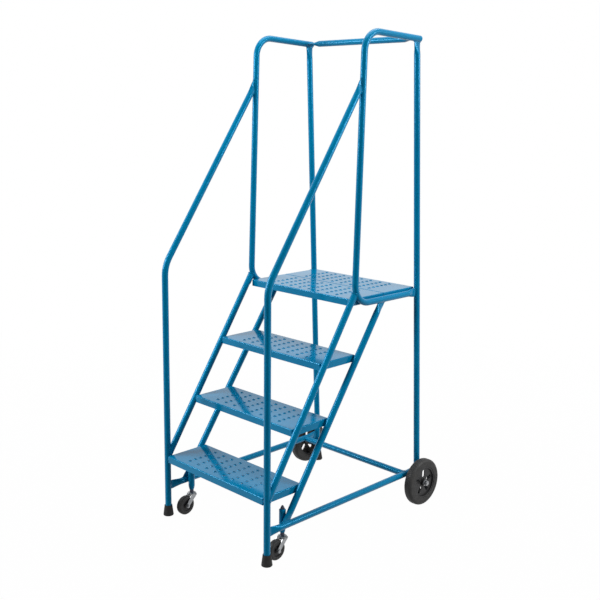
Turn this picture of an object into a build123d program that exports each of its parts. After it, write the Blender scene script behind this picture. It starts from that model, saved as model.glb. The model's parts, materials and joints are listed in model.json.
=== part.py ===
from build123d import *
from math import pi
import os

# Mobile ladder stand: three treads and a platform between two welded tube side frames,
# with two fixed rear wheels and two spring-loaded swivel casters in front.
# X runs across the stand, Y from front to back, Z up. The origin lies on the floor,
# half way along the stand and midway between the side frames. Millimetres.

# ---- driving dimensions: frame ----
FRAME_WIDTH = 584.2           # between the centres of the two side frames
TUBE_OD = 25.4
TUBE_WALL = 2.0
FOOT_LIFT = 10.0              # feet hang clear while the springs carry the front
PLATFORM_HEIGHT = 914.0       # platform top above the feet
FIRST_STEP = 254.0            # lowest tread top above the feet
TREAD_COUNT = 3
TREAD_RUN = 142.5             # from one nose to the next
TREAD_DEPTH = 194.0
PANEL_DEPTH = 190.5           # the platform is two panels deep
PANEL_SEAM = 0.8
FLANGE_HEIGHT = 27.0
SHEET = 1.9
NOSE_RADIUS = 4.0
CORNER_RADIUS = 3.0
BOTTOM_NOSE_Y = -9.0          # lowest nose, measured from the front leg axis
STRINGER_BEHIND_NOSE = 16.5
PLATFORM_SETBACK = 23.5       # platform edge behind the line of the noses
GUARD_BEHIND_EDGE = 8.0
POST_BEHIND_PLATFORM = 4.7
POST_LEAN = 0.0454            # rear posts lean forward
GUARD_LEAN = 0.030            # front tubes of the guards lean back
GUARD_HEIGHT = 998.0          # top front corner of the guard above the platform
GUARD_TOP_DROP = 15.0         # the guard's top tube falls towards the back
GUARD_TOP_OVERRUN = 17.0      # its end stands past the rear post
GUARD_BELOW_TOP = 8.0         # lower guard tube's top, below the platform top
GUARD_BEND = 76.0
HANDRAIL_BEND_RISE = 106.0    # where leg and handrail lines cross, above the platform
HANDRAIL_JOINT_RISE = 814.0   # where the handrail meets the guard, above the platform
HANDRAIL_BEND = 130.0
RAIL_ABOVE_AXLE = 37.0        # base rails above the rear axle
REAR_STRINGER_INSET = 10.0    # ahead of the lowest tread's back edge
REAR_STRINGER_OUTSET = 7.0    # behind the highest tread's back edge
BRACE_AHEAD_OF_POST = 82.0

# ---- driving dimensions: crushed tube ends ----
CRUSH_GAP = 1.2               # slit left between the two crushed walls
CRUSH_FLAT = 22.0
CRUSH_TAPER = 38.0

# ---- driving dimensions: raised perforations ----
HOLE_D = 9.5
RIM_BASE_D = 15.0
RIM_TOP_D = 12.0
RIM_HEIGHT = 1.6
HOLE_PITCH_X = 50.8
HOLE_PITCH_Y = 25.4
HOLE_MARGIN_X = 95.0
HOLE_MARGIN_Y = 30.0

# ---- driving dimensions: rubber feet ----
FOOT_BOTTOM_WALL = 8.3        # rubber around the tube at the floor
FOOT_TOP_WALL = 2.8           # and at the top edge
FOOT_HEIGHT = 42.0
FOOT_FLOOR = 8.0
FOOT_EDGE = 2.5

# ---- driving dimensions: rear wheels ----
WHEEL_D = 194.0
WHEEL_WIDTH = 37.0
TYRE_WALL = 31.0              # rubber between the hub and the ground
TYRE_SHOULDER = 12.0
TYRE_BEAD = 1.5
RIM_WIDTH = 33.0
RIM_WALL = 6.0
WEB_THICKNESS = 5.0
WEB_FROM_FACE = 5.5           # web behind the rim's outer face
HUB_BOSS_D = 31.0
HUB_LENGTH = 39.0
SLOT_COUNT = 5
SLOT_WIDTH = 16.0
SLOT_START_R = 21.0
SLOT_FROM_RIM = 7.0
AXLE_D = 12.7
BUSH_WALL = 1.65
AXLE_SLEEVE_D = 22.0
AXLE_SLEEVE_INBOARD = 15.0    # sleeve end inboard of the side frame's plane
WELD_BITE = 1.0               # how far a tangent sleeve is let into its tube
WHEEL_GAP = 10.1              # from the tube's outer face to the hub
WASHER_D = 25.0
WASHER_T = 2.0
AXLE_HEAD_AF = 19.0
AXLE_HEAD_T = 8.0
AXLE_NUT_T = 10.0
BOLT_END = 3.0                # thread left past a nut

# ---- driving dimensions: front casters ----
CASTER_D = 76.2
CASTER_WIDTH = 24.0
CASTER_TYRE_WALL = 11.1
CASTER_SHOULDER = 7.0
CASTER_HUB_BOSS_D = 22.0
CASTER_HUB_LENGTH = 26.6
CASTER_WEB_WIDTH = 14.0
CASTER_RIM_WALL = 4.0
CASTER_RIM_INSET = 1.0        # hub rim's faces inside the tyre's
CASTER_TRAIL = 33.0
CASTER_BEHIND_LEG = 100.0
CASTER_TRAVEL = 12.0
CASTER_AXLE_D = 8.0
CASTER_BUSH_D = 12.0
CASTER_HEAD_AF = 13.0
CASTER_HEAD_T = 5.3
FORK_GAP = 28.0
FORK_SHEET = 2.5
FORK_TOP_LENGTH = 26.0
FORK_EYE_D = 15.0
CROWN_T = 3.0
CROWN_LENGTH = 34.0
CROWN_CORNER = 7.0
CROWN_UNDER_TOP = 1.2         # crown underside below the top of the wheel
BALL_D = 4.0
BALL_COUNT = 14
BALL_RING_D = 23.0
RACE_D = 34.0
RACE_T = 3.4
RACE_LIP = 1.8
RACE_LAND = 3.0               # flat top around the neck, before the dome falls away
RACE_CLEAR_OF_CROWN = 1.0
NECK_D = 16.0
STEM_D = 10.0
RIVET_D = 14.0
RIVET_T = 2.6
SLEEVE_OD = 25.4
SLEEVE_WALL = 2.1
SLEEVE_LENGTH = 89.0
SLEEVE_CAP = 4.0
SLEEVE_SHOULDER = 3.0
NOSE_D = 19.6                 # sleeve's tapered lower end
NOSE_HEIGHT = 13.0
NOSE_STEP = 9.0
GUIDE_LENGTH = 14.0
SEAT_CLEAR_OF_GUIDE = 4.0
SEAT_T = 2.0
SEAT_D = 20.0                 # collar that carries the spring
SPRING_WIRE_D = 2.2
SPRING_COIL_D = 15.8
SPRING_TURNS = 9
TIP_NUT_D = 15.0
TIP_NUT_BASE = 5.0
TIP_NUT_HEIGHT = 13.0
TIP_D = 6.0

# ---- clearances ----
RUNNING = 0.05                # radial, shaft in its bearing
LOOSE = 0.3                   # beside parts that turn or slide
WELD_GAP = 0.05               # between a notched tube end and the tube it is welded to
NUT_STOP = 0.1                # stem nut over the sleeve cap at full extension
THREAD_GAP = 0.02             # between a bolt and the nut on it
STACK_GAP = 0.05              # between a nut and the washer under it

# ---- derived sizes ----
HALF = FRAME_WIDTH / 2
TUBE_R = TUBE_OD / 2
TREAD_WIDTH = FRAME_WIDTH - TUBE_OD
CRUSH_THICKNESS = 2 * TUBE_WALL + CRUSH_GAP
CRUSH_WIDTH = pi * (TUBE_OD - TUBE_WALL) / 2
FOOT_BOTTOM_D = TUBE_OD + 2 * FOOT_BOTTOM_WALL
FOOT_TOP_D = TUBE_OD + 2 * FOOT_TOP_WALL
AXLE_Z = WHEEL_D / 2
TYRE_BORE_D = WHEEL_D - 2 * TYRE_WALL
SLOT_END_R = TYRE_BORE_D / 2 - RIM_WALL - SLOT_FROM_RIM
RAIL_Z = AXLE_Z + RAIL_ABOVE_AXLE
PLATFORM_Z = FOOT_LIFT + PLATFORM_HEIGHT
FIRST_Z = FOOT_LIFT + FIRST_STEP
STEP_RISE = (PLATFORM_HEIGHT - FIRST_STEP) / TREAD_COUNT
GUARD_LOW_Z = PLATFORM_Z - GUARD_BELOW_TOP - TUBE_R
GUARD_TOP_Z = PLATFORM_Z + GUARD_HEIGHT
PLATFORM_Y = BOTTOM_NOSE_Y + TREAD_COUNT * TREAD_RUN + PLATFORM_SETBACK
PLATFORM_DEPTH = 2 * PANEL_DEPTH + PANEL_SEAM
POST_PLATFORM_Y = PLATFORM_Y + PLATFORM_DEPTH + POST_BEHIND_PLATFORM

# ---- caster heights, built up from the wheel ----
CASTER_R = CASTER_D / 2
CASTER_TYRE_BORE_D = CASTER_D - 2 * CASTER_TYRE_WALL
CASTER_RIM_D = CASTER_TYRE_BORE_D - 2 * CASTER_RIM_WALL
CROWN_LOW = CASTER_D - CROWN_UNDER_TOP
CROWN_TOP = CROWN_LOW + CROWN_T
RACE_LOW = CROWN_TOP + BALL_D + 2 * RUNNING
RACE_TOP = RACE_LOW + RACE_T
SLEEVE_LOW = RACE_TOP + CASTER_TRAVEL + 2 * LOOSE
SLEEVE_TOP = SLEEVE_LOW + SLEEVE_LENGTH
GUIDE_LOW = SLEEVE_LOW + NOSE_STEP
SEAT_LOW = GUIDE_LOW + GUIDE_LENGTH + SEAT_CLEAR_OF_GUIDE
SEAT_TOP = SEAT_LOW + SEAT_T
CAP_LOW = SLEEVE_TOP - SLEEVE_CAP
TIP_LOW = SLEEVE_TOP + NUT_STOP


def post_y(z):
    """Rear post axis, measured from the front leg axis, at height z."""
    return POST_PLATFORM_Y + POST_LEAN * (PLATFORM_Z - z)


def guard_y(z):
    """Axis of the guard's front tube at height z."""
    return PLATFORM_Y + GUARD_BEHIND_EDGE + GUARD_LEAN * (z - PLATFORM_Z)


def nose_y(step):
    """Front face of tread number step, counted from zero."""
    return BOTTOM_NOSE_Y + step * TREAD_RUN


def tread_z(step):
    return FIRST_Z + step * STEP_RISE


def front_stringer_z(y):
    """Height of the front stringer's axis at y."""
    return FIRST_Z + (y - BOTTOM_NOSE_Y - STRINGER_BEHIND_NOSE) * STEP_RISE / TREAD_RUN


def rear_stringer_y(z):
    low = nose_y(0) + TREAD_DEPTH - REAR_STRINGER_INSET
    high = nose_y(TREAD_COUNT - 1) + TREAD_DEPTH + REAR_STRINGER_OUTSET
    return low + (high - low) * (z - tread_z(0)) / (tread_z(TREAD_COUNT - 1) - tread_z(0))


AXLE_Y = post_y(AXLE_Z) - TUBE_R - AXLE_SLEEVE_D / 2 + WELD_BITE
LEG_Y = (FOOT_BOTTOM_D / 2 - AXLE_Y - WHEEL_D / 2) / 2


def at(x, y, z):
    """A point given by its distance behind the front leg axis."""
    return Vector(x, LEG_Y + y, z)


def finish(part, name):
    part.label = name
    export_step(part, f"parts/{name}.step")


# ---- tube work ----
def crushed_end(tip, along, wide, radius, width, thickness, mode):
    """Flat pressed end at tip that swells back to a round tube; along points into the tube."""
    with BuildSketch(Plane(tip, x_dir=wide, z_dir=along)) as flat:
        Ellipse(width / 2, thickness / 2)
    extrude(flat.sketch, amount=CRUSH_FLAT, mode=mode)
    with BuildSketch(Plane(tip + along * CRUSH_FLAT, x_dir=wide, z_dir=along)) as pressed:
        Ellipse(width / 2, thickness / 2)
    with BuildSketch(Plane(tip + along * (CRUSH_FLAT + CRUSH_TAPER), x_dir=wide, z_dir=along)) as full:
        Circle(radius)
    loft([pressed.sketch, full.sketch], mode=mode)


def round_run(points, bend, radius, mode):
    """A round bar along the points, with bends of one radius between its straight runs."""
    with BuildLine() as path:
        if bend:
            FilletPolyline(*points, radius=bend)
        else:
            Polyline(*points)
    with BuildSketch(Plane(path.line @ 0, z_dir=path.line % 0)) as section:
        Circle(radius)
    sweep(section.sketch, path=path.line, mode=mode)


def tube(points, bend=0.0, wide_start=None, wide_end=None):
    """A tube along the points. wide_start and wide_end give the wide direction of a crushed end."""
    run = list(points)
    ends = []
    if wide_start:
        along = (points[1] - points[0]).normalized()
        run[0] = points[0] + along * (CRUSH_FLAT + CRUSH_TAPER)
        ends.append((points[0], along, wide_start))
    if wide_end:
        along = (points[-2] - points[-1]).normalized()
        run[-1] = points[-1] + along * (CRUSH_FLAT + CRUSH_TAPER)
        ends.append((points[-1], along, wide_end))
    round_run(run, bend, TUBE_R, Mode.ADD)
    for tip, along, wide in ends:
        crushed_end(tip, along, wide, TUBE_R, CRUSH_WIDTH, CRUSH_THICKNESS, Mode.ADD)
    round_run(run, bend, TUBE_R - TUBE_WALL, Mode.SUBTRACT)
    bore_width = CRUSH_WIDTH - 2 * TUBE_WALL
    for tip, along, wide in ends:
        crushed_end(tip, along, wide, TUBE_R - TUBE_WALL, bore_width, CRUSH_GAP, Mode.SUBTRACT)


def cope(start, end):
    """Notch the piece so that it fits against a tube that runs from start to end."""
    axis = end - start
    with BuildSketch(Plane(start, z_dir=axis)) as section:
        Circle(TUBE_R + WELD_GAP)
    extrude(section.sketch, amount=axis.length, mode=Mode.SUBTRACT)


def in_plane(start, end):
    """The direction square to a side frame tube, in the frame's own plane."""
    return (end - start).cross(Vector(1, 0, 0)).normalized()


def leg_axis(x):
    return at(x, 0, FOOT_LIFT), at(x, 0, PLATFORM_Z)


def post_axis(x):
    """The rear post, from its foot to a little above the platform."""
    low = FOOT_LIFT + FOOT_FLOOR
    high = PLATFORM_Z + HANDRAIL_BEND_RISE
    return at(x, post_y(low), low), at(x, post_y(high), high)


def guard_front_axis(x):
    low = GUARD_LOW_Z
    return at(x, guard_y(low), low), at(x, guard_y(GUARD_TOP_Z), GUARD_TOP_Z)


def guard_top_axis(x):
    rear_z = GUARD_TOP_Z - GUARD_TOP_DROP
    return at(x, guard_y(GUARD_TOP_Z), GUARD_TOP_Z), at(x, post_y(rear_z), rear_z)


def rail_axis(x):
    return at(x, 0, RAIL_Z), at(x, post_y(RAIL_Z), RAIL_Z)


def guard_low_axis(x):
    return at(x, guard_y(GUARD_LOW_Z), GUARD_LOW_Z), at(x, post_y(GUARD_LOW_Z), GUARD_LOW_Z)


def make_side_frame(side, x):
    """All the tubes of one side. Returns the rear stringer, which stands beside the caster's sleeve."""
    with BuildPart() as leg:
        low = at(x, 0, FOOT_LIFT + FOOT_FLOOR)
        bend = at(x, 0, PLATFORM_Z + HANDRAIL_BEND_RISE)
        joint_z = PLATFORM_Z + HANDRAIL_JOINT_RISE
        joint = at(x, guard_y(joint_z), joint_z)
        tube([low, bend, joint], HANDRAIL_BEND, wide_end=in_plane(bend, joint))
        foot, top = guard_front_axis(x)
        cope(foot, top)
        split(bisect_by=Plane(joint, x_dir=(1, 0, 0), z_dir=in_plane(foot, top)), keep=Keep.BOTTOM)
    finish(leg.part, f"{side}_front_leg_handrail")

    with BuildPart() as guard:
        corner, back = guard_low_axis(x)
        top_front, top_back = guard_top_axis(x)
        past_post = top_back + (top_back - top_front).normalized() * GUARD_TOP_OVERRUN
        tube([back, corner, top_front, past_post], GUARD_BEND, wide_start=in_plane(back, corner))
        cope(*post_axis(x))
    finish(guard.part, f"{side}_guard_loop")

    with BuildPart() as post:
        low = post_axis(x)[0]
        top_front, top = guard_top_axis(x)
        tube([low, top], wide_end=in_plane(low, top))
        cope(top_front, top + (top - top_front).normalized() * TUBE_OD)
    finish(post.part, f"{side}_rear_post")

    with BuildPart() as front_stringer:
        top_y = guard_y(front_stringer_z(guard_y(PLATFORM_Z)))
        tube([at(x, 0, front_stringer_z(0)), at(x, top_y, front_stringer_z(top_y))])
        cope(*leg_axis(x))
        cope(*guard_front_axis(x))
    finish(front_stringer.part, f"{side}_front_stringer")

    with BuildPart() as rail:
        front, back = rail_axis(x)
        tube([front, back], wide_start=Vector(0, 0, 1), wide_end=Vector(0, 0, 1))
        cope(*leg_axis(x))
        cope(*post_axis(x))
    finish(rail.part, f"{side}_base_rail")

    with BuildPart() as rear_stringer:
        low = at(x, rear_stringer_y(RAIL_Z), RAIL_Z)
        high = at(x, rear_stringer_y(GUARD_LOW_Z), GUARD_LOW_Z)
        wide = in_plane(low, high)
        tube([low, high], wide_start=wide, wide_end=wide)
        cope(*rail_axis(x))
        tip, along = rail_axis(x)[0], Vector(0, 1, 0)
        crushed_end(tip, along, Vector(0, 0, 1), TUBE_R, CRUSH_WIDTH, CRUSH_THICKNESS, Mode.SUBTRACT)
        cope(*guard_low_axis(x))
    finish(rear_stringer.part, f"{side}_rear_stringer")
    return rear_stringer.part


def make_cross_tubes():
    with BuildPart() as top_rail:
        left, right = guard_top_axis(-HALF), guard_top_axis(HALF)
        tube([left[1], right[1]], wide_start=Vector(0, 1, 0), wide_end=Vector(0, 1, 0))
        for front, back in (left, right):
            cope(front, back + (back - front).normalized() * TUBE_OD)
    finish(top_rail.part, "top_rear_rail")

    with BuildPart() as brace:
        brace_y = post_y(RAIL_Z) - BRACE_AHEAD_OF_POST
        tube([at(-HALF, brace_y, RAIL_Z), at(HALF, brace_y, RAIL_Z)])
        cope(*rail_axis(-HALF))
        cope(*rail_axis(HALF))
    finish(brace.part, "base_cross_brace")


# ---- treads and platform ----
def make_pan(name, front_y, depth, top_z):
    """Sheet pan with down-turned flanges and raised round perforations."""
    centre = at(0, front_y + depth / 2, top_z)
    columns = int((TREAD_WIDTH - 2 * HOLE_MARGIN_X) / HOLE_PITCH_X) + 1
    rows = int((depth - 2 * HOLE_MARGIN_Y) / HOLE_PITCH_Y) + 1
    with BuildPart() as pan:
        with BuildSketch(Plane(centre)):
            RectangleRounded(TREAD_WIDTH, depth, CORNER_RADIUS)
        extrude(amount=-FLANGE_HEIGHT)
        fillet(pan.faces().sort_by(Axis.Z)[-1].edges(), NOSE_RADIUS)
        with BuildSketch(Plane(centre - Vector(0, 0, SHEET))):
            Rectangle(TREAD_WIDTH - 2 * SHEET, depth - 2 * SHEET)
        extrude(amount=-FLANGE_HEIGHT, mode=Mode.SUBTRACT)
        with Locations(Plane(centre)):
            with GridLocations(HOLE_PITCH_X, HOLE_PITCH_Y, columns, rows):
                rim_seat = (Align.CENTER, Align.CENTER, Align.MIN)
                Cone(RIM_BASE_D / 2, RIM_TOP_D / 2, RIM_HEIGHT, align=rim_seat)
        with BuildSketch(Plane(centre - Vector(0, 0, SHEET))):
            with GridLocations(HOLE_PITCH_X, HOLE_PITCH_Y, columns, rows):
                Circle(HOLE_D / 2)
        extrude(amount=SHEET + RIM_HEIGHT, mode=Mode.SUBTRACT)
    finish(pan.part, name)


# ---- feet ----
def make_foot(name, bottom, axis):
    """Tapered rubber cup pushed on to the lower end of a tube."""
    with BuildPart() as foot:
        with BuildSketch(Plane(bottom, z_dir=axis)):
            Circle(FOOT_BOTTOM_D / 2)
        with BuildSketch(Plane(bottom + axis * FOOT_HEIGHT, z_dir=axis)):
            Circle(FOOT_TOP_D / 2)
        loft()
        fillet(foot.faces().sort_by(Axis.Z)[0].edges(), FOOT_EDGE)
        with BuildSketch(Plane(bottom + axis * FOOT_FLOOR, z_dir=axis)):
            Circle(TUBE_R)
        extrude(amount=FOOT_HEIGHT, mode=Mode.SUBTRACT)
    finish(foot.part, name)


# ---- turned parts ----
def turned(points, centre, axis):
    """Revolve an outline of (radius, distance along the axis) points about the axis through centre."""
    across = Vector(0, 1, 0)
    with BuildSketch(Plane(centre, x_dir=across, z_dir=across.cross(axis))) as section:
        with BuildLine():
            Polyline(*points, close=True)
        make_face()
    revolve(section.sketch, axis=Axis(centre, axis))


def hexagon(centre, axis, across_flats, length):
    with BuildSketch(Plane(centre, z_dir=axis)) as section:
        RegularPolygon(across_flats / 2, 6, major_radius=False)
    extrude(section.sketch, amount=length)


def ring(centre, axis, outer_r, inner_r, length):
    """A plain collar that starts at centre and runs along the axis."""
    turned([(inner_r, 0), (outer_r, 0), (outer_r, length), (inner_r, length)], centre, axis)


def make_tyre(name, centre, outer_d, bore_d, width, shoulder):
    """Solid tyre with rounded shoulders, turning about X."""
    with BuildPart() as tyre:
        with BuildSketch(Plane(centre, x_dir=(1, 0, 0), z_dir=(0, -1, 0))) as section:
            with Locations((0, (outer_d + bore_d) / 4)):
                Rectangle(width, (outer_d - bore_d) / 2)
            fillet(section.vertices().group_by(Axis.Y)[-1], shoulder)
            fillet(section.vertices().group_by(Axis.Y)[0], TYRE_BEAD)
        revolve(axis=Axis(centre, (1, 0, 0)))
    finish(tyre.part, name)


def make_rear_wheel(side, sign):
    """Rear wheel on its own axle bolt, in a sleeve welded ahead of the rear post."""
    out = Vector(sign, 0, 0)
    sleeve_in = HALF - AXLE_SLEEVE_INBOARD
    hub_in = HALF + TUBE_R + WHEEL_GAP
    hub_out = hub_in + HUB_LENGTH
    sleeve_out = hub_in - LOOSE - WASHER_T
    hub_mid = (hub_in + hub_out) / 2
    axle_r = AXLE_D / 2
    bush_r = axle_r + RUNNING + BUSH_WALL

    def on_axle(distance):
        return at(sign * distance, AXLE_Y, AXLE_Z)

    with BuildPart() as sleeve:
        ring(on_axle(sleeve_in), out, AXLE_SLEEVE_D / 2, axle_r, sleeve_out - sleeve_in)
        cope(*post_axis(sign * HALF))
    finish(sleeve.part, f"{side}_axle_sleeve")

    nut_in = hub_out + LOOSE + WASHER_T + STACK_GAP
    bolt_end = nut_in + AXLE_NUT_T + BOLT_END
    with BuildPart() as bolt:
        hexagon(on_axle(sleeve_in - AXLE_HEAD_T), out, AXLE_HEAD_AF, AXLE_HEAD_T)
        with BuildSketch(Plane(on_axle(sleeve_in), z_dir=out)) as shank:
            Circle(axle_r)
        extrude(shank.sketch, amount=bolt_end - sleeve_in)
    finish(bolt.part, f"{side}_rear_axle_bolt")

    with BuildPart() as hardware:
        ring(on_axle(sleeve_out), out, WASHER_D / 2, axle_r, WASHER_T)
        ring(on_axle(hub_out + LOOSE), out, WASHER_D / 2, axle_r, WASHER_T)
        hexagon(on_axle(nut_in), out, AXLE_HEAD_AF, AXLE_NUT_T)
        with BuildSketch(Plane(on_axle(nut_in), z_dir=out)) as thread:
            Circle(axle_r)
        extrude(thread.sketch, amount=AXLE_NUT_T, mode=Mode.SUBTRACT)
    finish(hardware.part, f"{side}_rear_axle_nut_washers")

    with BuildPart() as bush:
        ring(on_axle(hub_in), out, bush_r, axle_r + RUNNING, HUB_LENGTH)
    finish(bush.part, f"{side}_rear_wheel_bush")

    web_out = (HUB_LENGTH + RIM_WIDTH) / 2 - WEB_FROM_FACE
    web_in = web_out - WEB_THICKNESS
    rim_in = (HUB_LENGTH - RIM_WIDTH) / 2
    rim_out = rim_in + RIM_WIDTH
    boss_r = HUB_BOSS_D / 2
    rim_r = TYRE_BORE_D / 2
    outline = [
        (bush_r, 0), (boss_r, 0), (boss_r, web_in), (rim_r - RIM_WALL, web_in),
        (rim_r - RIM_WALL, rim_in), (rim_r, rim_in), (rim_r, rim_out), (rim_r - RIM_WALL, rim_out),
        (rim_r - RIM_WALL, web_out), (boss_r, web_out), (boss_r, HUB_LENGTH), (bush_r, HUB_LENGTH),
    ]
    with BuildPart() as hub:
        turned(outline, on_axle(hub_in), out)
        with BuildSketch(Plane(on_axle(hub_in), x_dir=(0, 0, 1), z_dir=out)) as slots:
            with PolarLocations((SLOT_START_R + SLOT_END_R) / 2, SLOT_COUNT):
                SlotOverall(SLOT_END_R - SLOT_START_R, SLOT_WIDTH)
        extrude(slots.sketch, amount=HUB_LENGTH, mode=Mode.SUBTRACT)
    finish(hub.part, f"{side}_rear_wheel_hub")

    tyre_centre = on_axle(hub_mid)
    make_tyre(f"{side}_rear_tyre", tyre_centre, WHEEL_D, TYRE_BORE_D, WHEEL_WIDTH, TYRE_SHOULDER)


# ---- front casters ----
def make_caster(side, sign, stringer):
    """Spring-loaded swivel caster in a sleeve welded to the inner side of the base rail.
    The sleeve is cut to fit beside the rear stringer."""
    up = Vector(0, 0, 1)
    out = Vector(sign, 0, 0)
    stem_x = sign * (HALF - TUBE_R - SLEEVE_OD / 2 + WELD_BITE)
    wheel_y = CASTER_BEHIND_LEG - CASTER_TRAIL

    def on_stem(z):
        return at(stem_x, CASTER_BEHIND_LEG, z)

    def on_axle(distance):
        return at(stem_x + sign * distance, wheel_y, CASTER_R)

    floor = on_stem(0)
    sleeve_r = SLEEVE_OD / 2
    bore_r = sleeve_r - SLEEVE_WALL
    neck_r = NECK_D / 2
    stem_r = STEM_D / 2
    with BuildPart() as sleeve:
        turned([
            (neck_r + LOOSE, SLEEVE_LOW), (NOSE_D / 2, SLEEVE_LOW), (sleeve_r, SLEEVE_LOW + NOSE_HEIGHT),
            (sleeve_r, SLEEVE_TOP - SLEEVE_SHOULDER), (sleeve_r - SLEEVE_SHOULDER, SLEEVE_TOP),
            (stem_r + RUNNING, SLEEVE_TOP), (stem_r + RUNNING, CAP_LOW), (bore_r, CAP_LOW),
            (bore_r, GUIDE_LOW), (neck_r + LOOSE, GUIDE_LOW),
        ], floor, up)
        cope(*rail_axis(sign * HALF))
        add(stringer, mode=Mode.SUBTRACT)
    finish(sleeve.part, f"{side}_caster_sleeve")

    with BuildPart() as guide:
        ring(on_stem(GUIDE_LOW), up, bore_r, neck_r + RUNNING, GUIDE_LENGTH)
    finish(guide.part, f"{side}_caster_guide_bush")

    with BuildPart() as stem:
        turned([
            (0, CROWN_LOW - RIVET_T), (RIVET_D / 2, CROWN_LOW - RIVET_T), (RIVET_D / 2, CROWN_LOW - RUNNING),
            (stem_r, CROWN_LOW - RUNNING), (stem_r, RACE_LOW), (neck_r, RACE_LOW), (neck_r, SEAT_LOW),
            (SEAT_D / 2, SEAT_LOW), (SEAT_D / 2, SEAT_TOP), (stem_r, SEAT_TOP),
            (stem_r, TIP_LOW + TIP_NUT_BASE), (0, TIP_LOW + TIP_NUT_BASE),
        ], floor, up)
    finish(stem.part, f"{side}_caster_stem")

    with BuildPart() as spring:
        wire_r = SPRING_WIRE_D / 2
        coil_height = CAP_LOW - SEAT_TOP - SPRING_WIRE_D
        with BuildLine(Plane(on_stem(SEAT_TOP + wire_r))) as coil:
            Helix(coil_height / SPRING_TURNS, coil_height, SPRING_COIL_D / 2)
        with BuildSketch(Plane(coil.line @ 0, z_dir=coil.line % 0)):
            Circle(wire_r)
        sweep(path=coil.line, is_frenet=True)
    finish(spring.part, f"{side}_caster_spring")

    with BuildPart() as tip_nut:
        turned([
            (0, TIP_LOW + TIP_NUT_BASE), (stem_r, TIP_LOW + TIP_NUT_BASE), (stem_r, TIP_LOW),
            (TIP_NUT_D / 2, TIP_LOW), (TIP_NUT_D / 2, TIP_LOW + TIP_NUT_BASE),
            (TIP_D / 2, TIP_LOW + TIP_NUT_HEIGHT), (0, TIP_LOW + TIP_NUT_HEIGHT),
        ], floor, up)
    finish(tip_nut.part, f"{side}_caster_stem_nut")

    lip_r = RACE_D / 2 - RACE_LIP
    lip_low = CROWN_TOP + RACE_CLEAR_OF_CROWN
    with BuildPart() as race:
        turned([
            (neck_r, RACE_LOW), (lip_r, RACE_LOW), (lip_r, lip_low), (RACE_D / 2, lip_low),
            (RACE_D / 2, RACE_LOW), (neck_r + RACE_LAND, RACE_TOP), (neck_r, RACE_TOP),
        ], floor, up)
    finish(race.part, f"{side}_caster_race_cup")

    with BuildPart() as balls:
        with Locations(Plane(on_stem(CROWN_TOP + BALL_D / 2 + RUNNING))):
            with PolarLocations(BALL_RING_D / 2, BALL_COUNT):
                Sphere(BALL_D / 2)
    finish(balls.part, f"{side}_caster_swivel_balls")

    with BuildPart() as fork:
        with BuildSketch(Plane(on_stem(CROWN_LOW))) as crown:
            RectangleRounded(FORK_GAP + 2 * FORK_SHEET, CROWN_LENGTH, CROWN_CORNER)
        extrude(crown.sketch, amount=CROWN_T)
        for cheek in (-1, 1):
            inner = at(stem_x + cheek * FORK_GAP / 2, 0, 0)
            with BuildSketch(Plane(inner, x_dir=(0, 1, 0), z_dir=(1, 0, 0))) as leg:
                with Locations((wheel_y, CASTER_R)):
                    Circle(FORK_EYE_D / 2)
                with Locations((CASTER_BEHIND_LEG, CROWN_TOP)):
                    Rectangle(FORK_TOP_LENGTH, CROWN_T, align=(Align.CENTER, Align.MAX))
                make_hull()
            extrude(leg.sketch, amount=cheek * FORK_SHEET)
        with BuildSketch(Plane(on_stem(CROWN_LOW))) as king_hole:
            Circle(stem_r + LOOSE)
        extrude(king_hole.sketch, amount=CROWN_T, mode=Mode.SUBTRACT)
        with BuildSketch(Plane(on_axle(-FORK_GAP), z_dir=out)) as eye:
            Circle(CASTER_AXLE_D / 2)
        extrude(eye.sketch, amount=2 * FORK_GAP, mode=Mode.SUBTRACT)
    finish(fork.part, f"{side}_caster_fork")

    cheek_out = FORK_GAP / 2 + FORK_SHEET
    shank = 2 * cheek_out + CASTER_HEAD_T + BOLT_END
    with BuildPart() as axle:
        hexagon(on_axle(-cheek_out), -out, CASTER_HEAD_AF, CASTER_HEAD_T)
        with BuildSketch(Plane(on_axle(-cheek_out), z_dir=-out)) as thread:
            Circle(CASTER_AXLE_D / 2 + THREAD_GAP)
        extrude(thread.sketch, amount=CASTER_HEAD_T, mode=Mode.SUBTRACT)
        hexagon(on_axle(cheek_out), out, CASTER_HEAD_AF, CASTER_HEAD_T)
        with BuildSketch(Plane(on_axle(cheek_out), z_dir=-out)) as rod:
            Circle(CASTER_AXLE_D / 2)
        extrude(rod.sketch, amount=shank)
    finish(axle.part, f"{side}_caster_axle_bolt_nut")

    with BuildPart() as bush:
        ring(on_axle(-FORK_GAP / 2), out, CASTER_BUSH_D / 2, CASTER_AXLE_D / 2, FORK_GAP)
    finish(bush.part, f"{side}_caster_axle_bush")

    half_hub = CASTER_HUB_LENGTH / 2
    half_web = CASTER_WEB_WIDTH / 2
    half_rim = CASTER_WIDTH / 2 - CASTER_RIM_INSET
    boss_r = CASTER_HUB_BOSS_D / 2
    rim_in_r = CASTER_RIM_D / 2
    rim_r = CASTER_TYRE_BORE_D / 2
    bore = CASTER_BUSH_D / 2 + RUNNING
    with BuildPart() as hub:
        turned([
            (bore, -half_hub), (boss_r, -half_hub), (boss_r, -half_web), (rim_in_r, -half_web),
            (rim_in_r, -half_rim), (rim_r, -half_rim), (rim_r, half_rim), (rim_in_r, half_rim),
            (rim_in_r, half_web), (boss_r, half_web), (boss_r, half_hub), (bore, half_hub),
        ], on_axle(0), out)
    finish(hub.part, f"{side}_caster_wheel_hub")
    tyre_name = f"{side}_caster_tyre"
    make_tyre(tyre_name, on_axle(0), CASTER_D, CASTER_TYRE_BORE_D, CASTER_WIDTH, CASTER_SHOULDER)


# ---- build ----
os.makedirs("parts", exist_ok=True)

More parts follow.
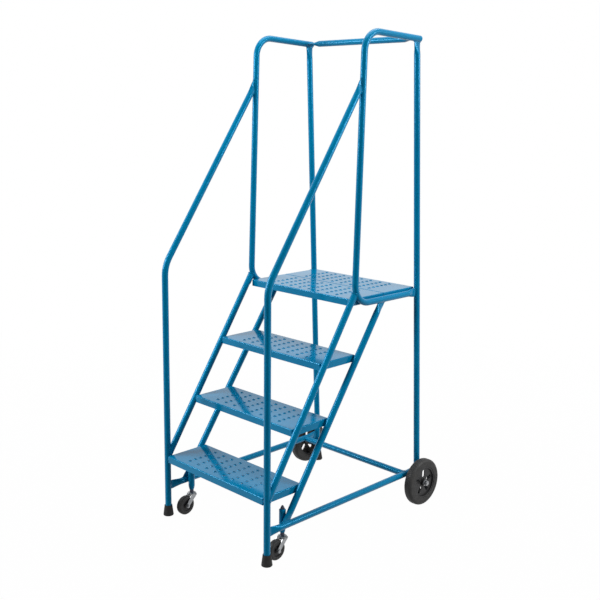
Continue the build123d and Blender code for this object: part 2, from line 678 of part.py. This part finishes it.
TREAD_NAMES = ("bottom_tread", "middle_tread", "upper_tread")
for step, tread_name in enumerate(TREAD_NAMES):
    make_pan(tread_name, nose_y(step), TREAD_DEPTH, tread_z(step))
make_pan("platform_front_panel", PLATFORM_Y, PANEL_DEPTH, PLATFORM_Z)
make_pan("platform_rear_panel", PLATFORM_Y + PANEL_DEPTH + PANEL_SEAM, PANEL_DEPTH, PLATFORM_Z)
make_cross_tubes()
for side, sign in (("left", -1), ("right", 1)):
    x = sign * HALF
    rear_stringer = make_side_frame(side, x)
    make_foot(f"{side}_front_foot", at(x, 0, FOOT_LIFT), Vector(0, 0, 1))
    post_low, post_top = post_axis(x)
    post_up = (post_top - post_low).normalized()
    make_foot(f"{side}_rear_foot", post_low - post_up * FOOT_FLOOR, post_up)
    make_rear_wheel(side, sign)
    make_caster(side, sign, rear_stringer)
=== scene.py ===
import bpy
import bmesh
import json
import math
import random
from mathutils import Matrix, Vector


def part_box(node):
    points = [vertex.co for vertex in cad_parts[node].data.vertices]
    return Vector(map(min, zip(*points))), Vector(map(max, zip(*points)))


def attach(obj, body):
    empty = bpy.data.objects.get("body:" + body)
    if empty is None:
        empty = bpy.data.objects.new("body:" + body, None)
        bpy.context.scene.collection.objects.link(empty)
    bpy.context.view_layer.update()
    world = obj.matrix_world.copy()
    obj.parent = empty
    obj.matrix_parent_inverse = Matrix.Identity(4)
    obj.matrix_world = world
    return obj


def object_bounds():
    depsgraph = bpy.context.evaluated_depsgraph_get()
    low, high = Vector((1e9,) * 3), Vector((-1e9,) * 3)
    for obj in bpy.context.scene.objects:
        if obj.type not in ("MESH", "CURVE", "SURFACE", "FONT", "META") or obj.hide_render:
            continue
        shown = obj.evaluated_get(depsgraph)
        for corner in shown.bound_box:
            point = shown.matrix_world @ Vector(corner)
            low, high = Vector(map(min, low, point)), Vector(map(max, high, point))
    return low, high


random.seed(7)
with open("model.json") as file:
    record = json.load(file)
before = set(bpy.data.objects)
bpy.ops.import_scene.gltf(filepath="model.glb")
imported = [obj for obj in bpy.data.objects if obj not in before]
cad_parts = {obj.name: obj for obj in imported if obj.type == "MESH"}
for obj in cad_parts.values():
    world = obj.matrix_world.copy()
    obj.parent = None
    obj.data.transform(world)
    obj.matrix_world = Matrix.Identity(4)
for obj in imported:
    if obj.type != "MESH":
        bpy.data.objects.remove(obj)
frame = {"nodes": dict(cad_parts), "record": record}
cad_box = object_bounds()
nodes = frame["nodes"]

# ---- paint, rubber, plastic and metal colours, linear ----
BLUE = (0.000, 0.172, 0.338)
BLUE_DEEP = (0.000, 0.144, 0.293)
BLUE_WORN = (0.030, 0.230, 0.440)
BLUE_SHEEN = (0.02, 0.45, 0.85)
TYRE = (0.020, 0.020, 0.020)
TYRE_DUST = (0.034, 0.033, 0.032)
FOOT = (0.004, 0.004, 0.004)
FOOT_DUST = (0.009, 0.009, 0.008)
HUB = (0.014, 0.014, 0.015)
HUB_SCUFF = (0.026, 0.026, 0.027)
CASTER_HUB = (0.021, 0.021, 0.022)
CASTER_HUB_SCUFF = (0.034, 0.034, 0.035)
ZINC = (0.36, 0.37, 0.38)
ZINC_DULL = (0.20, 0.21, 0.22)
DARK_STEEL = (0.030, 0.034, 0.055)
DARK_STEEL_WORN = (0.10, 0.11, 0.14)
SPRING = (0.20, 0.20, 0.21)
SPRING_DARK = (0.09, 0.09, 0.10)
NYLON = (0.62, 0.60, 0.52)
NYLON_DARK = (0.48, 0.46, 0.40)

# ---- paint and noise settings, metres where they are lengths ----
NOISE_ROUGHNESS = 0.55
BEVEL_SAMPLES = 4
EDGE_STARTS = 0.90
EDGE_FULL = 0.74
PEEL_DEPTH = 0.0003
WAVE_DEPTH = 0.0008
WAVE_STRENGTH = 0.008
PAINT_IOR = 1.48
METAL_GRAIN = 120.0

# ---- colour sockets of a Mix node ----
COLOUR_A = 6
COLOUR_B = 7
COLOUR_OUT = 2


# ---- materials ----
class Shader:
    """A Principled material being put together node by node."""

    def __init__(self, name):
        self.material = bpy.data.materials.new(name)
        self.material.use_nodes = True
        self.tree = self.material.node_tree
        self.surface = self.tree.nodes["Principled BSDF"]
        self.place = self.add("ShaderNodeTexCoord").outputs["Object"]

    def add(self, kind, **values):
        node = self.tree.nodes.new(kind)
        for key, value in values.items():
            setattr(node, key, value)
        return node

    def link(self, output, socket):
        self.tree.links.new(output, socket)

    def noise(self, scale, detail=4.0, stretch=None):
        node = self.add("ShaderNodeTexNoise")
        node.inputs["Scale"].default_value = scale
        node.inputs["Detail"].default_value = detail
        node.inputs["Roughness"].default_value = NOISE_ROUGHNESS
        place = self.place
        if stretch:
            mapping = self.add("ShaderNodeMapping")
            mapping.inputs["Scale"].default_value = stretch
            self.link(place, mapping.inputs["Vector"])
            place = mapping.outputs["Vector"]
        self.link(place, node.inputs["Vector"])
        return node.outputs["Fac"]

    def span(self, value, low, high, out_low, out_high):
        node = self.add("ShaderNodeMapRange")
        ends = {"From Min": low, "From Max": high, "To Min": out_low, "To Max": out_high}
        for key, number in ends.items():
            node.inputs[key].default_value = number
        self.link(value, node.inputs["Value"])
        return node.outputs["Result"]

    def mix(self, factor, a, b):
        node = self.add("ShaderNodeMix", data_type="RGBA")
        self.link(factor, node.inputs["Factor"])
        for socket, colour in ((node.inputs[COLOUR_A], a), (node.inputs[COLOUR_B], b)):
            if isinstance(colour, tuple):
                socket.default_value = (*colour, 1.0)
            else:
                self.link(colour, socket)
        return node.outputs[COLOUR_OUT]

    def edges(self, radius):
        """1 on edges tighter than the radius and 0 on flats."""
        bevel = self.add("ShaderNodeBevel", samples=BEVEL_SAMPLES)
        bevel.inputs["Radius"].default_value = radius
        geometry = self.add("ShaderNodeNewGeometry")
        dot = self.add("ShaderNodeVectorMath", operation="DOT_PRODUCT")
        self.link(bevel.outputs["Normal"], dot.inputs[0])
        self.link(geometry.outputs["Normal"], dot.inputs[1])
        return self.span(dot.outputs["Value"], EDGE_STARTS, EDGE_FULL, 0.0, 1.0)

    def bump(self, height, strength, distance, over=None):
        node = self.add("ShaderNodeBump")
        node.inputs["Strength"].default_value = strength
        node.inputs["Distance"].default_value = distance
        self.link(height, node.inputs["Height"])
        if over:
            self.link(over, node.inputs["Normal"])
        return node.outputs["Normal"]

    def set(self, **values):
        for key, value in values.items():
            socket = self.surface.inputs[key.replace("_", " ")]
            if isinstance(value, bpy.types.NodeSocket):
                self.link(value, socket)
            else:
                socket.default_value = value
        return self.material


def enamel(name, edge_radius, peel, gloss_low, gloss_high):
    """Sprayed enamel: faint orange peel, soft tone drift, thinner paint on sharp edges."""
    s = Shader(name)
    tone = s.mix(s.span(s.noise(4.5), 0.35, 0.65, 0.0, 1.0), BLUE, BLUE_DEEP)
    thin = s.add("ShaderNodeMath", operation="MULTIPLY")
    s.link(s.edges(edge_radius), thin.inputs[0])
    s.link(s.span(s.noise(38.0), 0.42, 0.68, 0.0, 0.75), thin.inputs[1])
    skin = s.bump(s.noise(150.0, 1.0), peel, PEEL_DEPTH)
    waves = s.bump(s.noise(22.0, 1.0), WAVE_STRENGTH, WAVE_DEPTH, over=skin)
    return s.set(
        Base_Color=s.mix(thin.outputs[0], tone, BLUE_WORN),
        Roughness=s.span(s.noise(21.0), 0.3, 0.7, gloss_low, gloss_high),
        IOR=PAINT_IOR,
        Specular_Tint=(*BLUE_SHEEN, 1.0),
        Normal=waves,
    )


def dusty(name, colour, dust, rough_low, rough_high, grain, amount=0.6):
    """Moulded rubber or plastic: fine skin, with dust in patches and along edges."""
    s = Shader(name)
    patches = s.span(s.noise(24.0, 6.0), 0.46, 0.72, 0.0, amount)
    rubbed = s.add("ShaderNodeMath", operation="MAXIMUM")
    s.link(patches, rubbed.inputs[0])
    s.link(s.span(s.edges(0.0012), 0.0, 1.0, 0.0, amount), rubbed.inputs[1])
    skin = s.bump(s.noise(grain, 3.0), 0.22, 0.0006)
    return s.set(
        Base_Color=s.mix(rubbed.outputs[0], colour, dust),
        Roughness=s.span(s.noise(55.0), 0.3, 0.7, rough_low, rough_high),
        Specular_IOR_Level=0.3,
        Normal=skin,
    )


def metal(name, bright, dull, rough_low, rough_high, stretch=(1.0, 1.0, 1.0)):
    """Plated or bare steel with a faint drawn grain and dulled patches."""
    s = Shader(name)
    dulled = s.span(s.noise(42.0, 6.0), 0.40, 0.70, 0.0, 1.0)
    grain = s.noise(METAL_GRAIN, stretch=stretch)
    return s.set(
        Base_Color=s.mix(dulled, bright, dull),
        Metallic=1.0,
        Roughness=s.span(grain, 0.25, 0.75, rough_low, rough_high),
        Normal=s.bump(grain, 0.12, 0.0004),
    )


def painted_steel():
    """Blackened caster stem and stem nut, with brighter rubbed corners."""
    s = Shader("dark_steel")
    rubbed = s.span(s.edges(0.0015), 0.0, 1.0, 0.0, 0.8)
    return s.set(
        Base_Color=s.mix(rubbed, DARK_STEEL, DARK_STEEL_WORN),
        Metallic=0.6,
        Roughness=s.span(s.noise(90.0), 0.3, 0.7, 0.32, 0.5),
        Normal=s.bump(s.noise(180.0), 0.15, 0.0005),
    )


TUBE_ENAMEL = enamel("tube_enamel", 0.0010, 0.008, 0.18, 0.24)
MATERIALS = {
    "frame_enamel": TUBE_ENAMEL,
    "tread_enamel": enamel("tread_enamel_paint", 0.0014, 0.015, 0.06, 0.12),
    "foot_rubber": dusty("foot_rubber_black", FOOT, FOOT_DUST, 0.55, 0.75, 300.0),
    "tyre_rubber": dusty("tyre_rubber_grey", TYRE, TYRE_DUST, 0.50, 0.68, 420.0),
    "hub_plastic": dusty("hub_plastic_black", HUB, HUB_SCUFF, 0.34, 0.48, 520.0, 0.45),
    "caster_hub_plastic": dusty(
        "caster_hub_grey", CASTER_HUB, CASTER_HUB_SCUFF, 0.36, 0.50, 520.0, 0.45
    ),
    "zinc_steel": metal("zinc_plate", ZINC, ZINC_DULL, 0.24, 0.42, (1.0, 1.0, 9.0)),
    "spring_steel": metal("spring_wire", SPRING, SPRING_DARK, 0.30, 0.48),
    "bush_nylon": dusty("nylon", NYLON, NYLON_DARK, 0.38, 0.52, 260.0),
}
DARK = painted_steel()
slot_of = {part["node"]: part["material_slot"] for part in frame["record"]["subparts"]}
for name, piece in nodes.items():
    paint = DARK if "_stem" in name else MATERIALS[slot_of[name]]
    piece.data.materials.clear()
    piece.data.materials.append(paint)


# ---- weld beads ----
BEAD_R = 0.0021
RIPPLE = 0.0034
BEAD_SIDES = 8
SHARP = math.radians(32)
SAME_POINT = 2e-6
LOOP_CLOSES_WITHIN = 0.002
ENDS_APART = 0.06
TREAD_BEAD_R = 0.0014
TREAD_BEAD_ASIDE = 0.0048
TREAD_BEAD_ASIDE_AT_EDGE = 0.0042
TREAD_BEAD_FROM_BOTTOM = 0.002
TREAD_BEAD_FROM_TOP = 0.005
TREAD_EDGE_MARGIN = 0.006


def end_loops(piece):
    """Closed runs of sharp edges on a tube's mesh, each as a list of points."""
    mesh = bmesh.new()
    mesh.from_mesh(piece.data)
    bmesh.ops.remove_doubles(mesh, verts=mesh.verts, dist=SAME_POINT)
    creased = [edge for edge in mesh.edges if len(edge.link_faces) == 2]
    sharp = [edge for edge in creased if edge.calc_face_angle(0.0) > SHARP]
    near = {}
    for edge in sharp:
        for vertex in edge.verts:
            near.setdefault(vertex, []).append(edge)
    used, loops = set(), []
    for first in sharp:
        if first in used:
            continue
        start, here = first.verts
        used.add(first)
        run = [start.co.copy(), here.co.copy()]
        while True:
            onward = [e for e in near[here] if e not in used]
            if not onward:
                break
            used.add(onward[0])
            here = onward[0].other_vert(here)
            run.append(here.co.copy())
        if (run[0] - run[-1]).length < LOOP_CLOSES_WITHIN:
            loops.append(run[:-1])
    mesh.free()
    return loops


def length_of(loop):
    return sum((a - b).length for a, b in zip(loop, loop[1:] + loop[:1]))


def weld_loops(name):
    """The outer edge at each end of a tube: the longest loop near each end."""
    loops = sorted(end_loops(nodes[name]), key=length_of, reverse=True)
    chosen = []
    for loop in loops:
        centre = sum(loop, Vector()) / len(loop)
        if all((centre - other).length > ENDS_APART for other, _ in chosen):
            chosen.append((centre, loop))
    return [loop for _, loop in chosen]


def even(points, step, closed):
    """The same line, cut into even steps."""
    run = points + points[:1] if closed else points
    lengths = [0.0]
    for a, b in zip(run, run[1:]):
        lengths.append(lengths[-1] + (b - a).length)
    count = max(6, round(lengths[-1] / step))
    cut, segment = [], 0
    for k in range(count if closed else count + 1):
        want = lengths[-1] * k / count
        while segment < len(run) - 2 and lengths[segment + 1] < want:
            segment += 1
        span = max(lengths[segment + 1] - lengths[segment], 1e-9)
        cut.append(run[segment].lerp(run[segment + 1], (want - lengths[segment]) / span))
    return cut


def add_bead(mesh, points, radius, closed=True):
    """A rippled bead along the points."""
    line = even(points, RIPPLE / 4, closed)
    count = len(line)
    phase = random.random() * math.tau
    rings = []
    for k, point in enumerate(line):
        before = line[k - 1] if closed or k else line[0]
        after = line[(k + 1) % count] if closed or k < count - 1 else line[-1]
        along = (after - before).normalized()
        side = along.orthogonal().normalized()
        across = along.cross(side)
        ripple = 1 + 0.13 * math.sin(math.tau * k / 4 + phase) + random.uniform(-0.05, 0.05)
        if not closed:
            taper = min(k, count - 1 - k) / 3
            ripple *= min(1.0, 0.35 + 0.65 * taper)
        ring = []
        for s in range(BEAD_SIDES):
            turn = math.tau * s / BEAD_SIDES
            offset = side * math.cos(turn) + across * math.sin(turn)
            ring.append(mesh.verts.new(point + offset * radius * ripple))
        rings.append(ring)
    pairs = list(zip(rings, rings[1:])) + ([(rings[-1], rings[0])] if closed else [])
    for low, high in pairs:
        shift = 0
        if low is rings[-1]:
            gaps = [(low[0].co - v.co).length for v in high]
            shift = gaps.index(min(gaps))
        for s in range(BEAD_SIDES):
            t = (s + 1) % BEAD_SIDES
            far_s = high[(s + shift) % BEAD_SIDES]
            far_t = high[(t + shift) % BEAD_SIDES]
            mesh.faces.new((low[s], low[t], far_t, far_s))
    if not closed:
        mesh.faces.new(rings[0][::-1])
        mesh.faces.new(rings[-1])


def bead_piece(name, runs):
    """One welded joint's beads as a piece on the frame. runs holds (points, radius, closed)."""
    mesh = bmesh.new()
    for points, radius, closed in runs:
        add_bead(mesh, points, radius, closed)
    bmesh.ops.recalc_face_normals(mesh, faces=mesh.faces)
    data = bpy.data.meshes.new(name)
    mesh.to_mesh(data)
    mesh.free()
    data.shade_smooth()
    piece = bpy.data.objects.new(name, data)
    bpy.context.scene.collection.objects.link(piece)
    data.materials.append(TUBE_ENAMEL)
    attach(piece, "frame")


WELDED = ["top_rear_rail", "base_cross_brace"]
for side in ("left", "right"):
    WELDED += [f"{side}_{part}" for part in ("front_stringer", "rear_stringer", "base_rail")]
for name in WELDED:
    runs = [(loop, BEAD_R, True) for loop in weld_loops(name)]
    bead_piece(f"weld_{name}", runs)


def end_run(name, pick):
    """The welded edge at one end of a tube: the loop whose centre scores highest."""
    return max(weld_loops(name), key=lambda loop: pick(sum(loop, Vector()) / len(loop)))


for side in ("left", "right"):
    ends = (
        ("rear_post", lambda c: c.z),
        ("front_leg_handrail", lambda c: c.z),
        ("guard_loop", lambda c: c.y - c.z),
    )
    for part, pick in ends:
        loop = end_run(f"{side}_{part}", pick)
        bead_piece(f"weld_{side}_{part}", [(loop, BEAD_R, True)])


def centre_line(name):
    """A straight tube's axis, from the middles of its two ends."""
    loops = weld_loops(name)
    middles = sorted((sum(loop, Vector()) / len(loop) for loop in loops[:2]), key=lambda c: c.z)
    return middles[0], middles[-1]


def straight_beads(a, b, offset):
    """Two beads beside the line where a round tube touches a flat face."""
    beads = []
    for aside in (-offset, offset):
        line = [a + aside, (a + b) / 2 + aside, b + aside]
        beads.append((line, TREAD_BEAD_R, False))
    return beads


TREADS = ("bottom_tread", "middle_tread", "upper_tread")
for tread in TREADS:
    low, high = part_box(tread)
    for side, face in (("left", low.x), ("right", high.x)):
        runs = []
        for part in ("front_stringer", "rear_stringer"):
            foot, top = centre_line(f"{side}_{part}")
            along = (top - foot).normalized()
            across = Vector((0, along.z, -along.y))
            bottom_z = low.z + TREAD_BEAD_FROM_BOTTOM
            top_z = high.z - TREAD_BEAD_FROM_TOP
            ends = []
            for z in (bottom_z, top_z):
                point = foot + along * ((z - foot.z) / along.z)
                ends.append(Vector((face, point.y, z)))
            front, back = low.y + TREAD_EDGE_MARGIN, high.y - TREAD_EDGE_MARGIN
            inside = all(front < end.y < back for end in ends)
            aside = TREAD_BEAD_ASIDE if inside else TREAD_BEAD_ASIDE_AT_EDGE
            runs += straight_beads(ends[0], ends[1], across * aside)
        bead_piece(f"weld_{side}_{tread}", runs)


# ---- floor, lamps, world ----
def glowing_white(tree, plain, share):
    """Mix the plain shader with white that only camera, mirror and glass rays see."""
    path = tree.nodes.new("ShaderNodeLightPath")
    seen = path.outputs["Is Camera Ray"]
    for other in ("Is Glossy Ray", "Is Transmission Ray"):
        either = tree.nodes.new("ShaderNodeMath")
        either.operation = "MAXIMUM"
        tree.links.new(seen, either.inputs[0])
        tree.links.new(path.outputs[other], either.inputs[1])
        seen = either.outputs[0]
    amount = tree.nodes.new("ShaderNodeMath")
    amount.operation = "MULTIPLY"
    if isinstance(share, bpy.types.NodeSocket):
        tree.links.new(share, amount.inputs[1])
    else:
        amount.inputs[1].default_value = share
    tree.links.new(seen, amount.inputs[0])
    mixer = tree.nodes.new("ShaderNodeMixShader")
    tree.links.new(amount.outputs[0], mixer.inputs["Fac"])
    tree.links.new(plain, mixer.inputs[1])
    return mixer


FLOOR_SIZE = 60.0
FLOOR_DROP = 0.0002
FLOOR_GREY = (0.34, 0.34, 0.34, 1.0)
FLOOR_GLOW = 0.99
GLOW_NEAR = 1.0
GLOW_FAR = 3.5
PURE_WHITE = (1.0, 1.0, 1.0, 1.0)
bpy.ops.mesh.primitive_plane_add(size=FLOOR_SIZE, location=(0, 0, cad_box[0].z - FLOOR_DROP))
floor = bpy.context.object
floor.name = "floor"
floor_paint = bpy.data.materials.new("floor_white")
floor_paint.use_nodes = True
tree = floor_paint.node_tree
tree.nodes.clear()
diffuse = tree.nodes.new("ShaderNodeBsdfDiffuse")
diffuse.inputs["Color"].default_value = FLOOR_GREY
glow = tree.nodes.new("ShaderNodeEmission")
spot = tree.nodes.new("ShaderNodeTexCoord")
reach = tree.nodes.new("ShaderNodeVectorMath")
reach.operation = "LENGTH"
tree.links.new(spot.outputs["Object"], reach.inputs[0])
fade = tree.nodes.new("ShaderNodeMapRange")
fade.inputs["From Min"].default_value = GLOW_NEAR
fade.inputs["From Max"].default_value = GLOW_FAR
fade.inputs["To Min"].default_value = FLOOR_GLOW
fade.inputs["To Max"].default_value = 1.0
tree.links.new(reach.outputs["Value"], fade.inputs["Value"])
mixer = glowing_white(tree, diffuse.outputs[0], fade.outputs["Result"])
tree.links.new(glow.outputs[0], mixer.inputs[2])
output = tree.nodes.new("ShaderNodeOutputMaterial")
tree.links.new(mixer.outputs[0], output.inputs["Surface"])
floor.data.materials.append(floor_paint)

WORLD_LEVEL = 0.12
world = bpy.data.worlds.new("studio")
bpy.context.scene.world = world
world.use_nodes = True
tree = world.node_tree
tree.nodes.clear()
dim = tree.nodes.new("ShaderNodeBackground")
dim.inputs["Strength"].default_value = WORLD_LEVEL
dim.inputs["Color"].default_value = PURE_WHITE
white = tree.nodes.new("ShaderNodeBackground")
white.inputs["Color"].default_value = PURE_WHITE
mixer = glowing_white(tree, dim.outputs[0], 1.0)
tree.links.new(white.outputs[0], mixer.inputs[2])
output = tree.nodes.new("ShaderNodeOutputWorld")
tree.links.new(mixer.outputs[0], output.inputs["Surface"])

middle = (cad_box[0] + cad_box[1]) / 2


def lamp(name, place, size, watts):
    """A soft square lamp aimed at the middle of the stand."""
    data = bpy.data.lights.new(name, "AREA")
    data.size = size
    data.energy = watts
    piece = bpy.data.objects.new(name, data)
    bpy.context.scene.collection.objects.link(piece)
    piece.location = middle + Vector(place)
    piece.rotation_euler = (-Vector(place)).to_track_quat("-Z", "Y").to_euler()


lamp("key", (-1.9, -2.5, 1.2), 1.6, 122.0)
lamp("top", (0.2, 0.3, 2.7), 2.4, 70.0)
lamp("rim", (3.0, 1.7, 1.3), 1.5, 110.0)

# ---- camera ----
AZIMUTH = math.radians(45.017)
ELEVATION = math.radians(9.4625)
ROLL = math.radians(0.51735)
SENSOR = 36.0
FOCAL_WIDTHS = 924.83 / 600
CENTRE_RISE = -40 / 600
STATION = Vector((2.5692, -2.5805, 1.6460))

data = bpy.data.cameras.new("camera")
data.sensor_width = SENSOR
data.lens = SENSOR * FOCAL_WIDTHS
data.shift_y = CENTRE_RISE
camera = bpy.data.objects.new("camera", data)
bpy.context.scene.collection.objects.link(camera)
bpy.context.scene.camera = camera
back = Vector((
    math.sin(AZIMUTH) * math.cos(ELEVATION),
    -math.cos(AZIMUTH) * math.cos(ELEVATION),
    math.sin(ELEVATION),
))
level = Vector((math.cos(AZIMUTH), math.sin(AZIMUTH), 0))
rise = back.cross(level)
right = level * math.cos(ROLL) + rise * math.sin(ROLL)
up = rise * math.cos(ROLL) - level * math.sin(ROLL)
turn = Matrix((right, up, back)).transposed()
camera.matrix_world = Matrix.Translation(STATION) @ turn.to_4x4()

bpy.context.scene.view_settings.view_transform = "Standard"
